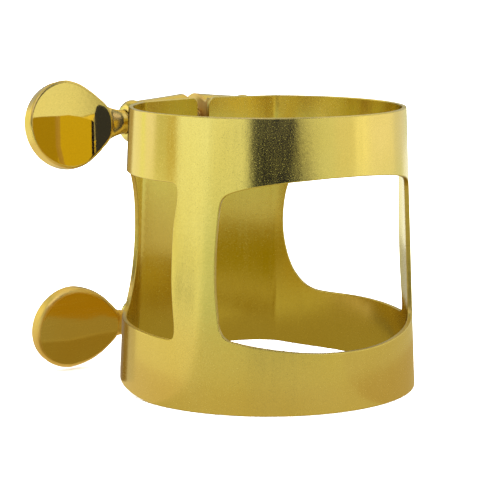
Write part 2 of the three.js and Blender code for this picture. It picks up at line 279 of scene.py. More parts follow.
def centripetal(points):
    """Closed centripetal Catmull-Rom curve."""
    knots = np.array(points, float)
    n = len(knots)
    curve = []
    for i in range(n):
        before, start, end, after = (knots[(i + k) % n] for k in (-1, 0, 1, 2))
        gap0, gap1, gap2 = (max(np.linalg.norm(b - a) ** 0.5, 1e-4)
                            for a, b in ((before, start), (start, end), (end, after)))
        leave = (start - before) / gap0 - (end - before) / (gap0 + gap1) + (end - start) / gap1
        arrive = (end - start) / gap1 - (after - start) / (gap1 + gap2) + (after - end) / gap2
        leave, arrive = leave * gap1, arrive * gap1
        square = -3 * start + 3 * end - 2 * leave - arrive
        cube = 2 * start - 2 * end + leave + arrive
        for k in range(CURVE_STEPS):
            x = k / CURVE_STEPS
            curve.append(start + leave * x + square * x * x + cube * x ** 3)
    return np.array(curve)


def resample(loop, step):
    """Closed loop at an even spacing."""
    closed = np.vstack([loop, loop[:1]])
    run = np.cumsum(np.linalg.norm(np.diff(closed, axis=0), axis=1))
    run = np.concatenate([[0], run])
    n = max(12, int(round(run[-1] / step)))
    at = np.arange(n) * run[-1] / n
    return np.stack([np.interp(at, run, closed[:, 0]), np.interp(at, run, closed[:, 1])], -1)


def degrees_to_u(loop):
    return np.stack([np.radians(loop[:, 0]) * ARC, loop[:, 1]], -1)


def counter_clockwise(loop):
    x, y = loop[:, 0], loop[:, 1]
    area = 0.5 * np.sum(x * np.roll(y, -1) - np.roll(x, -1) * y)
    return loop if area > 0 else loop[::-1]


def sheet_outline():
    """The sheet's outer boundary, with rounded corners at the split."""
    def split_edge(z):
        return ARC * (math.pi - math.atan2(SPLIT_GAP / 2, GABLE * radius_at(z) - 0.15))

    points = []
    low, high = BACK_RISE + CORNER_R, HEIGHT - CORNER_R
    for centre_z, side, first in ((low, 1, -90), (high, 1, 0), (high, -1, 90), (low, -1, 180)):
        centre_u = side * (split_edge(centre_z) - CORNER_R)
        for k in range(9):
            angle = math.radians(first + 90 * k / 8)
            points.append((centre_u + CORNER_R * math.cos(angle),
                           centre_z + CORNER_R * math.sin(angle)))
    rise = np.array(RISE)
    fine = np.arange(10, 103, 1.0)
    height = np.interp(fine, rise[:, 0], rise[:, 1])
    height = np.convolve(np.pad(height, 4, mode="edge"), np.ones(9) / 9, "valid")
    height[fine > 101] = 0
    edge = [(-ARC * math.radians(180 - a), z) for a, z in zip(fine, height)]
    points += edge + [(-u, z) for u, z in edge[::-1]]
    return counter_clockwise(resample(np.array(points), RIM_STEP))


def band_loops():
    """Boundary counter-clockwise, then three windows clockwise: material lies to the left."""
    front = FRONT_HALF + [(-a, z) for a, z in FRONT_HALF[-2:0:-1]]
    sides = [[(s * (180 - a), z) for a, z in SIDE] for s in (1, -1)]
    windows = [resample(degrees_to_u(centripetal(w)), WINDOW_STEP) for w in [front] + sides]
    return [sheet_outline()] + [counter_clockwise(w)[::-1] for w in windows]


def loop_normals(loop):
    """Unit direction out of the material at each contour point."""
    along = np.roll(loop, -1, 0) - np.roll(loop, 1, 0)
    along /= np.linalg.norm(along, axis=1, keepdims=True)
    return np.stack([along[:, 1], -along[:, 0]], -1)


def inside(points, loops):
    odd = np.zeros(len(points), bool)
    for loop in loops:
        for (x0, y0), (x1, y1) in zip(loop, np.roll(loop, -1, 0)):
            if y0 == y1:
                continue
            hit = (points[:, 1] > min(y0, y1)) & (points[:, 1] <= max(y0, y1))
            cross_x = x0 + (points[:, 1] - y0) * (x1 - x0) / (y1 - y0)
            odd ^= hit & (points[:, 0] < cross_x)
    return odd


def distance_to(points, loops):
    """Distance to the nearest contour point, in blocks to spare memory."""
    nearest = np.empty(len(points))
    contour = np.vstack(loops)
    for i in range(0, len(points), 4000):
        block = points[i:i + 4000]
        square = ((block[:, None, :] - contour[None]) ** 2).sum(-1)
        nearest[i:i + 4000] = np.sqrt(square).min(1)
    return nearest


def triangulate(loops):
    """Fill the developed sheet: points, triangles and the point index of each contour point."""
    half = ARC * math.pi
    columns = np.arange(-half, half, GRID)
    rows = np.arange(GRID * 0.4, HEIGHT, GRID)
    grid = np.array([(u + (0.5 * GRID if j % 2 else 0), z)
                     for j, z in enumerate(rows) for u in columns])
    grid = grid[inside(grid, loops)]
    grid = grid[distance_to(grid, loops) > 0.372 * GRID + 0.08]
    contour = np.vstack(loops)
    points = np.vstack([contour, grid])
    edges, start = [], 0
    for loop in loops:
        n = len(loop)
        edges += [(start + i, start + (i + 1) % n) for i in range(n)]
        start += n
    result = delaunay_2d_cdt([Vector(p) for p in points.tolist()], edges, [], 0, 1e-6)
    flat = np.array([tuple(v) for v in result[0]])
    tris = np.array([f for f in result[2] if len(f) == 3])
    moved = {}
    for new, originals in enumerate(result[3]):
        for old in originals:
            moved.setdefault(old, new)
    tris = tris[inside(flat[tris].mean(1), loops)]
    a, b, c = (flat[tris[:, i]] for i in range(3))
    area = (b[:, 0] - a[:, 0]) * (c[:, 1] - a[:, 1]) - (c[:, 0] - a[:, 0]) * (b[:, 1] - a[:, 1])
    tris = np.where((area > 0)[:, None], tris, tris[:, ::-1])
    return flat, tris, np.array([moved[i] for i in range(len(contour))])


def build_band():
    """Outer and inner faces, joined round every contour by rounded cut edges."""
    loops = band_loops()
    outs = [loop_normals(loop) for loop in loops]
    inset = EDGE_R * (1 - np.cos(ROUND_ANGLES))
    depth = EDGE_R * (1 - np.sin(ROUND_ANGLES))
    flat, tris, contour_at = triangulate([q - EDGE_R * out for q, out in zip(loops, outs)])
    face_count = len(flat)

    verts = [on_wall(flat, False), on_wall(flat, True)]
    normals = [wall_frame(flat, False)[2], -wall_frame(flat, True)[2]]
    edge_d = [distance_to(flat, loops)] * 2
    tris = [tris, tris[:, ::-1] + face_count]

    # rings from the outer face over the cut to the inner face
    turns = range(len(ROUND_ANGLES) - 1)
    profile = [(False, k) for k in turns[::-1]] + [(True, k) for k in turns]
    quads = []
    base = 2 * face_count
    start = 0
    for loop, out in zip(loops, outs):
        n = len(loop)
        face_ring = contour_at[start:start + n]
        rings = [face_ring]
        for inner, k in profile:
            uz = loop - inset[k] * out
            around, up, outward = wall_frame(uz, False)
            outer_points, inner_points = on_wall(uz, False), on_wall(uz, True)
            through = inner_points - outer_points
            through = through * (depth[k] / np.linalg.norm(through, axis=1, keepdims=True))
            verts.append(inner_points - through if inner else outer_points + through)
            away = out[:, :1] * around + out[:, 1:] * up
            facing = -outward if inner else outward
            normals.append(math.cos(ROUND_ANGLES[k]) * away + math.sin(ROUND_ANGLES[k]) * facing)
            edge_d.append(np.full(n, inset[k]))
            rings.append(base + np.arange(n))
            base += n
        rings.append(face_ring + face_count)
        i = np.arange(n)
        j = (i + 1) % n
        for near, far in zip(rings[:-1], rings[1:]):
            quads.append(np.stack([near[i], far[i], far[j], near[j]], -1))
        start += n
    return make_mesh("band_sheet", np.vstack(verts), np.vstack(quads), np.vstack(tris),
                     np.vstack(normals), {"edge_d": np.concatenate(edge_d)})


# --------------------------------------------------------------------- lugs
# A lug is shaped on the +x side, along its screw's axis, and mirrored for the left one.
LUG_IN, LUG_OUT = SPLIT_GAP / 2, 7.3        # x of its end faces
LUG_R_IN, LUG_R_END, LUG_TAPER_LEN = 2.5, 2.02, 4.78
BODY_END = 5.72
COLLAR_X, COLLAR_HALF, COLLAR_CORE_R, COLLAR_ROUND = 6.36, 0.94, 1.25, 0.86
FOOT_IN, FOOT_OUT, FOOT_HALF = 0.9, 5.25, 1.62
BRAZE_BLEND = 1.15                          # width of the fillet on to the panel
LUG_TRIM_Z, LUG_TRIM_DROP = 26.2, 1.2       # the foot is cut level above this z
HOLE_R = {"left": 1.14, "right": 1.07}
CHAMFER_IN, CHAMFER_OUT = 0.16, 0.03
LUG_STEP = 0.105
LUG_SEED = {"upper": 1.0, "lower": 2.2}


def panel_distance(points):
    """Distance out of the outer face of the back panels, alike on both sides of x = 0."""
    y = points[:, 1] - BORE_Y
    lean = GABLE * TAPER
    rise = SLOPE * np.abs(points[:, 0]) + y + lean * points[:, 2] - GABLE * R_LARGE
    return rise / math.hypot(math.hypot(SLOPE, 1), lean)


def lug_field(axis_y, axis_z, hole, seed):
    def field(points):
        x = points[:, 0]
        out, up = points[:, 1] - axis_y, points[:, 2] - axis_z
        radius = np.hypot(out, up)
        body_r = LUG_R_IN - (x - LUG_IN) * (LUG_R_IN - LUG_R_END) / LUG_TAPER_LEN
        body = smax(smax(radius - body_r, LUG_IN - x, 0.12), x - BODY_END, 0.12)
        collar = np.sqrt(((x - COLLAR_X) / COLLAR_HALF) ** 2
                         + (np.maximum(radius - COLLAR_CORE_R, 0) / COLLAR_ROUND) ** 2)
        barrel = smin(body, (collar - 1) * 0.8, 0.1)
        foot = smax(np.abs(up) - FOOT_HALF, FOOT_IN - x, 0.5)
        foot = smax(smax(foot, x - FOOT_OUT, 0.5), out, 0.3)
        # braze: a lumpy fillet that fades away from the panel
        panel = panel_distance(points)
        lump = 0.05 * wobble(points, 2.6, seed) + 0.025 * wobble(points, 6.1, seed + 2)
        shape = smin(barrel, foot + lump * np.clip(1.2 - panel, 0, 1), 0.7)
        shape = smin(shape, panel + 0.07 + lump * 0.4, BRAZE_BLEND)
        # stop just under the sheet's face, level near the rim and flush at the split
        shape = np.maximum(shape, -(panel + 0.04))
        trim = np.minimum(points[:, 2] - LUG_TRIM_Z, -out - LUG_TRIM_DROP)
        shape = np.maximum(shape, trim)
        shape = smax(shape, LUG_IN - x, 0.1)
        bore = (hole + np.clip(CHAMFER_OUT - (LUG_OUT - x), 0, 0.3)
                + np.clip(CHAMFER_IN - (x - LUG_IN), 0, 0.3))
        return smax(shape, bore - radius, 0.06)
    return field


def build_lug(level, side):
    axis_y, axis_z = screw_axis(level)
    seed = LUG_SEED[level] + (0.4 if side == "right" else 0.0)
    points, quads, normals = surface_net(
        lug_field(axis_y, axis_z, HOLE_R[side], seed),
        (LUG_IN - 0.25, axis_y - 4.3, axis_z - 3.1),
        (LUG_OUT + 0.25, axis_y + 2.8, axis_z + 3.1), LUG_STEP)
    cut_end = np.clip((LUG_IN + 0.5 - points[:, 0]) / 0.4, 0, 1)
    braze = np.clip((0.9 - panel_distance(points)) / 0.6, 0, 1)
    if side == "left":
        points, normals = points * MIRROR_X, normals * MIRROR_X
        quads = quads[:, ::-1]
    return make_mesh(f"{level}_{side}_lug_brazed", points, quads, normals=normals,
                     attributes={"cut_end": cut_end, "braze": braze})


# ------------------------------------------------------------------ paddles
# A paddle is shaped flat: distance along the screw axis from x = 0, depth, width across.
SHOULDER = 7.38             # where the neck starts
PADDLE_T = 1.6
PADDLE_STEP = 0.085
# tilt is in degrees about the screw axis; skew and lift bend the outline sideways;
# tip is the start and radius of the plate's inner end; flank is (distance, half-width)
PADDLES = {
    "upper": {
        "length": 10.37, "half_width": 4.27, "tilt": 11.0, "skew": 0.0, "lift": 0.0,
        "edge_r": 0.3, "tip": (8.86, 3.2),
        "flank": [(7.6, 0.8), (8.0, 0.92), (8.3, 1.1), (8.65, 1.33), (9.05, 1.6), (9.5, 1.94),
                  (10.05, 2.4), (10.75, 2.97), (11.45, 3.49), (12.25, 3.94), (13.0, 4.18)]},
    "lower": {
        "length": 10.15, "half_width": 4.06, "tilt": -9.0, "skew": 0.03, "lift": 0.18,
        "edge_r": 0.5, "tip": (8.3, 3.0),
        "flank": [(7.6, 0.8), (8.0, 0.95), (8.35, 1.2), (8.72, 1.52), (9.2, 1.97), (9.7, 2.42),
                  (10.2, 2.83), (10.75, 3.2), (11.4, 3.52), (12.1, 3.79), (12.9, 3.98)]},
}
# Neck by distance along the axis: half-width across and half-depth
NECK_SHARE = np.linspace(0, 1, 40)
NECK_AT = SHOULDER + 3.2 * NECK_SHARE
NECK_ACROSS = 1.2 + 1.15 * np.clip(NECK_SHARE * 1.25 - 0.1, 0, 1) ** 1.7
NECK_DEEP = np.interp(NECK_AT, [SHOULDER, 7.9, 8.1, 8.4, 8.8, 9.1, 11.0],
                      [1.15, 1.14, 1.08, 0.88, 0.58, 0.5, 0.4])


def flank_table(spec, centre):
    """Distance, half-width and its slope, along a smooth curve through the flank points."""
    radius = spec["half_width"]
    knots = np.array(spec["flank"] + [(centre, radius), (centre + 0.6, radius)])
    at, width = knots[:, 0], knots[:, 1]
    slope = np.gradient(width, at)
    slope[-2:] = 0
    table_at = np.linspace(7.6, centre + 0.4, 300)
    i = np.clip(np.searchsorted(at, table_at) - 1, 0, len(at) - 2)
    gap = at[i + 1] - at[i]
    t = (table_at - at[i]) / gap
    table_width = ((2 * t ** 3 - 3 * t ** 2 + 1) * width[i]
                   + (t ** 3 - 2 * t ** 2 + t) * gap * slope[i]
                   + (-2 * t ** 3 + 3 * t ** 2) * width[i + 1]
                   + (t ** 3 - t ** 2) * gap * slope[i + 1])
    return table_at, table_width, np.gradient(table_width, table_at)


def paddle_field(spec):
    radius = spec["half_width"]
    centre = SHOULDER + spec["length"] - radius     # of the round outer end
    table_at, table_width, table_slope = flank_table(spec, centre)
    tip_start, tip_r = spec["tip"]
    edge_r = spec["edge_r"]

    def field(points):
        axial, depth, across = points[:, 0], points[:, 1], points[:, 2]
        along = axial + spec["skew"] * across * np.clip((axial - 8.6) / 2.0, 0, 1)
        across = across - spec["lift"] * np.clip((along - 10.0) / 5.0, 0, 1)
        half = np.interp(along, table_at, table_width)
        slope = np.interp(along, table_at, table_slope)
        flank = (np.abs(across) - half) / np.sqrt(1 + slope ** 2)
        disc = np.hypot(along - centre, across) - radius
        outline = np.where(along > centre, disc, flank)
        # the plate ends in a rounded tip over the thinner neck
        tip = np.where(along < tip_start + 1.5,
                       np.hypot(along - tip_start - tip_r, across) - tip_r, -1.0)
        outline = smax(outline, tip, 0.22)
        a, b = outline + edge_r, np.abs(depth) - PADDLE_T / 2 + edge_r
        plate = (np.hypot(np.maximum(a, 0), np.maximum(b, 0))
                 + np.minimum(np.maximum(a, b), 0) - edge_r)
        # neck drawn from a round at the shoulder to a flat oval under the plate
        neck_across = np.interp(axial, NECK_AT, NECK_ACROSS)
        neck_deep = np.interp(axial, NECK_AT, NECK_DEEP)
        neck = (np.hypot(across / neck_across, depth / neck_deep) - 1) * neck_deep
        neck = smax(neck, SHOULDER - axial, 0.08)
        neck = smax(neck, axial - 10.6, 0.1)
        return smin(plate, neck, 0.08)
    return field


def build_paddle(level):
    spec = PADDLES[level]
    half = spec["half_width"] + 0.3
    points, quads, normals = surface_net(
        paddle_field(spec), (SHOULDER - 0.25, -1.55, -half),
        (SHOULDER + spec["length"] + 0.3, 1.55, half), PADDLE_STEP)
    tilt = math.radians(-spec["tilt"])
    turn = np.array([[1, 0, 0], [0, math.cos(tilt), -math.sin(tilt)],
                     [0, math.sin(tilt), math.cos(tilt)]])
    flatness = np.abs(normals[:, 1]) / np.linalg.norm(normals, axis=1)
    face = np.clip((flatness - 0.97) / 0.02, 0, 1)
    points = (points * MIRROR_X) @ turn.T + [0, *screw_axis(level)]
    normals = (normals * MIRROR_X) @ turn.T
    return make_mesh(f"{level}_paddle_polished", points, quads[:, ::-1], normals=normals,
                     attributes={"face": face})


# ------------------------------------------------------------------- shanks
PITCH, THREAD_R, THREAD_DEPTH = 0.4, 0.995, 0.22
THREAD_X = -2.4             # plain on the -x side of this
THREAD_STEPS = 11           # rings per turn of thread
SHANK_SIDES = 44
SHANK_CHAMFER = 0.32


def build_shank(level):
    """Screw shank: plain under the paddle, threaded to its chamfered tip."""
    lo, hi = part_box(level + "_screw_shank")
    axis_y, axis_z = screw_axis(level)
    head, tip = lo.x / MM, hi.x / MM
    stations = np.concatenate([np.linspace(head + 0.02, THREAD_X, 12)[:-1],
                               np.arange(THREAD_X, tip - 0.02, PITCH / THREAD_STEPS),
                               [tip - 0.01]])
    sides = SHANK_SIDES
    angles = np.arange(sides) * 2 * math.pi / sides
    x, angle = np.meshgrid(stations, angles, indexing="ij")
    phase = (x / PITCH + angle / (2 * math.pi)) % 1.0
    crest = np.clip((np.abs(phase - 0.5) * 2 - 0.12) / 0.72, 0, 1)
    fade = np.clip((x + 2.3) / 0.5, 0, 1)
    radius = THREAD_R - THREAD_DEPTH * (1 - crest) * fade
    radius = np.minimum(radius, THREAD_R - np.clip(x - (tip - SHANK_CHAMFER), 0, 1))
    y, z = axis_y + radius * np.sin(angle), axis_z + radius * np.cos(angle)
    rings = np.stack([x, y, z], -1).reshape(-1, 3)
    verts = np.vstack([rings, [[head + 0.02, axis_y, axis_z], [tip - 0.01, axis_y, axis_z]]])
    head_centre, tip_centre = len(rings), len(rings) + 1

    i, j = np.meshgrid(np.arange(len(stations) - 1), np.arange(sides), indexing="ij")
    i, j = i.ravel(), j.ravel()
    near, far, beside = i * sides, (i + 1) * sides, (j + 1) % sides
    quads = np.stack([far + j, far + beside, near + beside, near + j], -1)
    j = np.arange(sides)
    beside = (j + 1) % sides
    last = (len(stations) - 1) * sides
    tris = np.vstack([np.stack([j, beside, np.full(sides, head_centre)], -1),
                      np.stack([last + beside, last + j, np.full(sides, tip_centre)], -1)])
    return make_mesh(f"{level}_shank_threaded", verts, quads, tris)


# ---------------------------------------------------------------- materials
class Graph:
    """A Principled material. An input is a plain value or a (node, output) pair."""

    def __init__(self, name):
        self.mat = bpy.data.materials.new(name)
        self.mat.use_nodes = True
        self.tree = self.mat.node_tree
        self.tree.nodes.clear()
        out = self.add("ShaderNodeOutputMaterial")
        self.bsdf = self.add("ShaderNodeBsdfPrincipled")
        self.put(out, "Surface", (self.bsdf, "BSDF"))
        self.coord = (self.add("ShaderNodeTexCoord"), "Object")

    def add(self, kind, **props):
        node = self.tree.nodes.new(kind)
        for key, value in props.items():
            setattr(node, key, value)
        return node

    def put(self, node, socket, value):
        if isinstance(value, tuple) and len(value) == 2 and hasattr(value[0], "outputs"):
            self.tree.links.new(value[0].outputs[value[1]], node.inputs[socket])
        else:
            node.inputs[socket].default_value = value

    def mapped(self, **inputs):
        node = self.add("ShaderNodeMapping")
        for socket, value in inputs.items():
            self.put(node, socket, value)
        self.put(node, "Vector", self.coord)
        return (node, "Vector")

    def noise(self, scale=1.0, detail=3.0, rough=0.55, stretch=None):
        node = self.add("ShaderNodeTexNoise")
        self.put(node, "Scale", scale)
        self.put(node, "Detail", detail)
        self.put(node, "Roughness", rough)
        self.put(node, "Vector", self.mapped(Scale=stretch) if stretch else self.coord)
        return (node, "Fac")

    def ramp(self, value, lo, hi, to_lo=0.0, to_hi=1.0):
        node = self.add("ShaderNodeMapRange", clamp=True)
        for key, item in (("Value", value), ("From Min", lo), ("From Max", hi),
                          ("To Min", to_lo), ("To Max", to_hi)):
            self.put(node, key, item)
        return (node, "Result")

    def math(self, operation, a, b):
        node = self.add("ShaderNodeMath", operation=operation)
        self.put(node, 0, a)
        self.put(node, 1, b)
        return (node, "Value")

    def plus(self, a, b):
        return self.math("ADD", a, b)

    def times(self, a, b):
        return self.math("MULTIPLY", a, b)

    def mix(self, fac, a, b):
        """Colour mix; its colour sockets are inputs 6 and 7 and output 2."""
        node = self.add("ShaderNodeMix", data_type="RGBA")
        self.put(node, 0, fac)
        self.put(node, 6, a)
        self.put(node, 7, b)
        return (node, 2)

    def attr(self, name):
        return (self.add("ShaderNodeAttribute", attribute_name=name), "Fac")

    def bump(self, height, depth, normal=None):
        """Bump of a depth in mm, on top of another normal."""
        node = self.add("ShaderNodeBump")
        self.put(node, "Height", height)
        self.put(node, "Distance", depth * MM)
        if normal is not None:
            self.put(node, "Normal", normal)
        return (node, "Normal")


def rgba(r, g, b):
    return (r, g, b, 1.0)


def brass(name, pale, deep, rough, speck, wave=0.04, peel=0.004, brushed=None, tail=None):
    """Lacquered brass drifting between pale and deep.

    speck is the strength of the lacquer specks; wave and peel are the depths in mm of the
    slow waviness and the orange peel; tail adds what belongs to one piece.
    """
    g = Graph(name)
    drift = g.ramp(g.noise(scale=95, detail=2.5), lo=0.35, hi=0.68)
    base = g.mix(drift, rgba(*pale), rgba(*deep))
    fine = g.ramp(g.noise(scale=7800, detail=2.0, rough=0.6), lo=0.36, hi=0.66)
    dull = rgba(pale[0] * 0.62, pale[1] * 0.6, pale[2] * 0.45)
    base = g.mix(g.times(fine, 0.20), base, dull)
    specks = g.ramp(g.noise(scale=11500, detail=1.0, rough=0.5), lo=0.64, hi=0.76)
    blots = g.ramp(g.noise(scale=1500, detail=2.0, rough=0.5), lo=0.66, hi=0.80)
    gloss = g.ramp(g.noise(scale=260), lo=0.3, hi=0.7, to_lo=rough * 0.88, to_hi=rough * 1.15)
    gloss = g.plus(gloss, g.times(specks, 0.15 * speck))
    gloss = g.plus(gloss, g.times(blots, 0.05 * speck))
    normal = g.bump(g.noise(scale=62, detail=1.5), depth=wave)
    normal = g.bump(g.noise(scale=2600, detail=2.0, rough=0.5), depth=peel, normal=normal)
    normal = g.bump(specks, depth=0.0028 * speck, normal=normal)
    if brushed is not None:
        lines = g.noise(detail=4.0, rough=0.6, stretch=brushed["stretch"])
        normal = g.bump(lines, depth=brushed["depth"], normal=normal)
        gloss = g.plus(gloss, g.ramp(lines, lo=0.35, hi=0.7, to_hi=brushed["rough"]))
    if tail is not None:
        base, gloss, normal = tail(g, base, gloss, normal)
    for socket, value in (("Base Color", base), ("Roughness", gloss), ("Normal", normal),
                          ("Metallic", 1.0), ("Coat Weight", 0.075), ("Coat Roughness", 0.08),
                          ("Coat IOR", 1.5), ("Coat Normal", normal)):
        g.put(g.bsdf, socket, value)
    return g.mat


def band_tail(g, base, gloss, normal):
    """Sheared edges in a darker tone, partly the cut metal's own colour and partly painted shade,
    with a pale painted highlight along the small end's rim; drawing streaks along the bore and
    wipe marks by the split.
    """
    edge = g.ramp(g.attr("edge_d"), lo=0.0, hi=0.075, to_lo=1.0, to_hi=0.0)
    shear = g.noise(rough=0.6, stretch=(900, 900, 5200))
    # cut edge tone: the sheared metal's own darker colour with striations, kept dark partly as
    # painted shade for the dark edge lines
    cut = g.mix(g.ramp(shear, lo=0.3, hi=0.7), rgba(0.64, 0.50, 0.14), rgba(0.50, 0.38, 0.10))
    # the small end's rim gets a pale painted highlight; the window edges keep the darker tone,
    # partly painted shade (z in metres)
    place = g.add("ShaderNodeSeparateXYZ")
    g.put(place, "Vector", g.coord)
    cut = g.mix(g.ramp((place, "Z"), lo=0.0252, hi=0.0257), cut, rgba(0.93, 0.84, 0.42))
    base = g.mix(g.times(edge, 0.75), base, cut)
    gloss = g.plus(gloss, g.times(edge, 0.14))
    normal = g.bump(g.times(shear, edge), depth=0.004, normal=normal)
    streak = g.noise(rough=0.6, stretch=(2300, 2300, 130))
    normal = g.bump(streak, depth=0.0006, normal=normal)
    gloss = g.plus(gloss, g.ramp(streak, lo=0.4, hi=0.75, to_hi=0.05))
    # circular wipe marks, only on the back panels near the split (y in metres)
    ring = g.add("ShaderNodeTexWave", wave_type="RINGS", rings_direction="Y")
    for socket, value in (("Vector", g.mapped(Location=(0.0042, 0.0, -0.0205))),
                          ("Scale", 420), ("Distortion", 1.5), ("Detail", 2.0)):
        g.put(ring, socket, value)
    arcs = g.ramp((ring, "Fac"), lo=0.93, hi=1.0)
    arcs = g.times(arcs, g.ramp((place, "Y"), lo=0.0245, hi=0.0252))
    gloss = g.plus(gloss, g.times(arcs, 0.025))
    return base, gloss, normal


def lug_tail(g, base, gloss, normal):
    """Pinker cut ends at the split, a pale rough braze and fine turning lines."""
    pink = g.attr("cut_end")
    base = g.mix(g.times(pink, 0.75), base, rgba(0.74, 0.50, 0.27))
    braze = g.attr("braze")
    base = g.mix(g.times(braze, 0.55), base, rgba(0.86, 0.77, 0.50))
    gloss = g.plus(gloss, g.times(braze, 0.07))
    gloss = g.plus(gloss, g.times(pink, 0.08))
    grain = g.times(g.noise(scale=1900, detail=2.0), braze)
    normal = g.bump(grain, depth=0.012, normal=normal)
    turned = g.noise(detail=2.0, rough=0.5, stretch=(5200, 260, 260))
    normal = g.bump(turned, depth=0.0012, normal=normal)
    return base, gloss, normal


def paddle_tail(g, base, gloss, normal):
    """The flat faces are bright; the rim and the neck are satin and a little redder."""
    rest = g.math("SUBTRACT", 1.0, g.attr("face"))
    base = g.mix(g.times(rest, 0.45), base, rgba(0.86, 0.62, 0.24))
    gloss = g.plus(gloss, g.times(rest, 0.20))
    grain = g.times(g.noise(scale=2400, detail=2.0, rough=0.5), rest)
    return base, gloss, g.bump(grain, depth=0.004, normal=normal)


PALE = (0.85, 0.725, 0.27)
MATS = {
    "band": brass("band_lacquered_brass", pale=PALE, deep=(0.82, 0.675, 0.20), rough=0.17,
                  speck=0.8, tail=band_tail),
    "lug": brass("lug_brass", pale=(0.88, 0.77, 0.36), deep=(0.84, 0.71, 0.28), rough=0.22,
                 speck=0.7, tail=lug_tail),
    "upper_paddle": brass("upper_paddle_brass", pale=PALE, deep=(0.86, 0.69, 0.20),
                          rough=0.075, speck=0.25, wave=0.012, peel=0.0012, tail=paddle_tail),
    "lower_paddle": brass("lower_paddle_brass", pale=PALE, deep=(0.84, 0.64, 0.17),
                          rough=0.15, speck=0.5, wave=0.022, peel=0.003,
                          brushed={"stretch": (260, 1500, 3600), "depth": 0.007, "rough": 0.14},
                          tail=paddle_tail),
    "screw": brass("screw_brass", pale=(0.80, 0.64, 0.30), deep=(0.70, 0.53, 0.22),
                   rough=0.28, speck=0.5),
}


def finish_piece(ob, mat, body, node):
    ob.data.materials.append(MATS[mat])
    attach(ob, body)
    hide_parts(node)


finish_piece(build_band(), "band", "clamp_band", "band")
for level in ("upper", "lower"):
    paddle = f"{level}_paddle"
    for side in ("left", "right"):
        finish_piece(build_lug(level, side), "lug", "clamp_band",
                     f"{level}_{side}_lug")
    finish_piece(build_paddle(level), paddle, paddle, f"{level}_thumb_paddle")
    # the shank turns and advances with its paddle
    finish_piece(build_shank(level), "screw", paddle, f"{level}_screw_shank")


# -------------------------------------------------------------------- floor
def build_floor():
    mat = bpy.data.materials.new("floor_paper")
    mat.use_nodes = True
    inputs = mat.node_tree.nodes["Principled BSDF"].inputs
    inputs["Base Color"].default_value = rgba(0.93, 0.93, 0.925)
    inputs["Roughness"].default_value = 0.9
    inputs["Specular IOR Level"].default_value = 0.1
    mesh = bpy.data.meshes.new("floor")
    half, z = 4, -2e-5      # metres
    corners = [(-half, -half, z), (half, -half, z), (half, half, z), (-half, half, z)]
    mesh.from_pydata(corners, [], [(0, 1, 2, 3)])
    mesh.materials.append(mat)
    floor = link_object("floor", mesh)
    floor.visible_glossy = False


build_floor()

# ---------------------------------------------------------- reflector cards
# Emissive cards stand round the metal. The camera and the floor do not see them.
# Camera place, in metres, and its axes; azimuths below are measured from it.
EYE = Vector((-0.098028, -0.152363 + BORE_Y * MM, 0.041611))
RIGHT = Vector((0.84585, -0.53342, 0.00032))
UP = Vector((0.08386, 0.13357, 0.98749))
FWD = Vector((0.52679, 0.83524, -0.15771))
TO_EYE = Vector((-FWD.x, -FWD.y, 0)).normalized()
ACROSS = Vector((RIGHT.x, RIGHT.y, 0)).normalized()


def glow(name, tone, one_sided):
    """Plain emission, clear from behind if one-sided."""
    mat = bpy.data.materials.new(name)
    mat.use_nodes = True
    nodes, links = mat.node_tree.nodes, mat.node_tree.links
    nodes.clear()
    out = nodes.new("ShaderNodeOutputMaterial")
    emission = nodes.new("ShaderNodeEmission")
    emission.inputs["Color"].default_value = rgba(*tone)
    surface = emission.outputs[0]
    if one_sided:
        geometry = nodes.new("ShaderNodeNewGeometry")
        clear = nodes.new("ShaderNodeBsdfTransparent")
        mix = nodes.new("ShaderNodeMixShader")
        links.new(geometry.outputs["Backfacing"], mix.inputs[0])
        links.new(surface, mix.inputs[1])
        links.new(clear.outputs[0], mix.inputs[2])
        surface = mix.outputs[0]
    links.new(surface, out.inputs["Surface"])
    return mat


def card(name, tone, verts, faces, facing=None):
    """A card of one linear colour; given a facing direction it is one-sided."""
    mesh = bpy.data.meshes.new(name)
    mesh.from_pydata([tuple(v) for v in verts], [], faces)
    mesh.materials.append(glow(name, tone, facing is not None))
    ob = link_object(name, mesh)
    for kind in ("camera", "diffuse", "shadow", "transmission", "volume_scatter"):
        setattr(ob, "visible_" + kind, False)
    if facing is not None and mesh.polygons[0].normal.dot(facing) < 0:
        mesh.flip_normals()


def azimuth(degrees):
    """Level direction: 0 towards the camera, positive to its right."""
    angle = math.radians(degrees)
    return TO_EYE * math.cos(angle) + ACROSS * math.sin(angle)


def ring_card(name, tone, span, first, second, second_span=None, inward=False):
    """A curved card round the bore axis between two circles, each (radius, z).

    The spans are the azimuths of its ends on each circle.
    """
    edges = ((first, span), (second, second_span or span))
    n = max(1, int(math.ceil((span[1] - span[0]) / 5)))
    verts, faces = [], []
    for i in range(n + 1):
        for (radius, z), (a0, a1) in edges:
            way = azimuth(a0 + (a1 - a0) * i / n)
            verts.append((way.x * radius * MM, way.y * radius * MM + BORE_Y * MM, z * MM))
        if i:
            faces.append((2 * i - 2, 2 * i, 2 * i + 1, 2 * i - 1))
    card(name, tone, verts, faces, facing=-azimuth(span[0]) if inward else None)


def side_card(name, tone, y, x_span, z_span):
    """A one-sided upright card beyond the band, facing -y."""
    (x0, x1), (z0, z1) = x_span, z_span
    corners = ((x0, z0), (x1, z0), (x1, z1), (x0, z1))
    verts = [(x * MM, y * MM, z * MM) for x, z in corners]
    card(name, tone, verts, [(0, 1, 2, 3)], facing=Vector((0, -1, 0)))


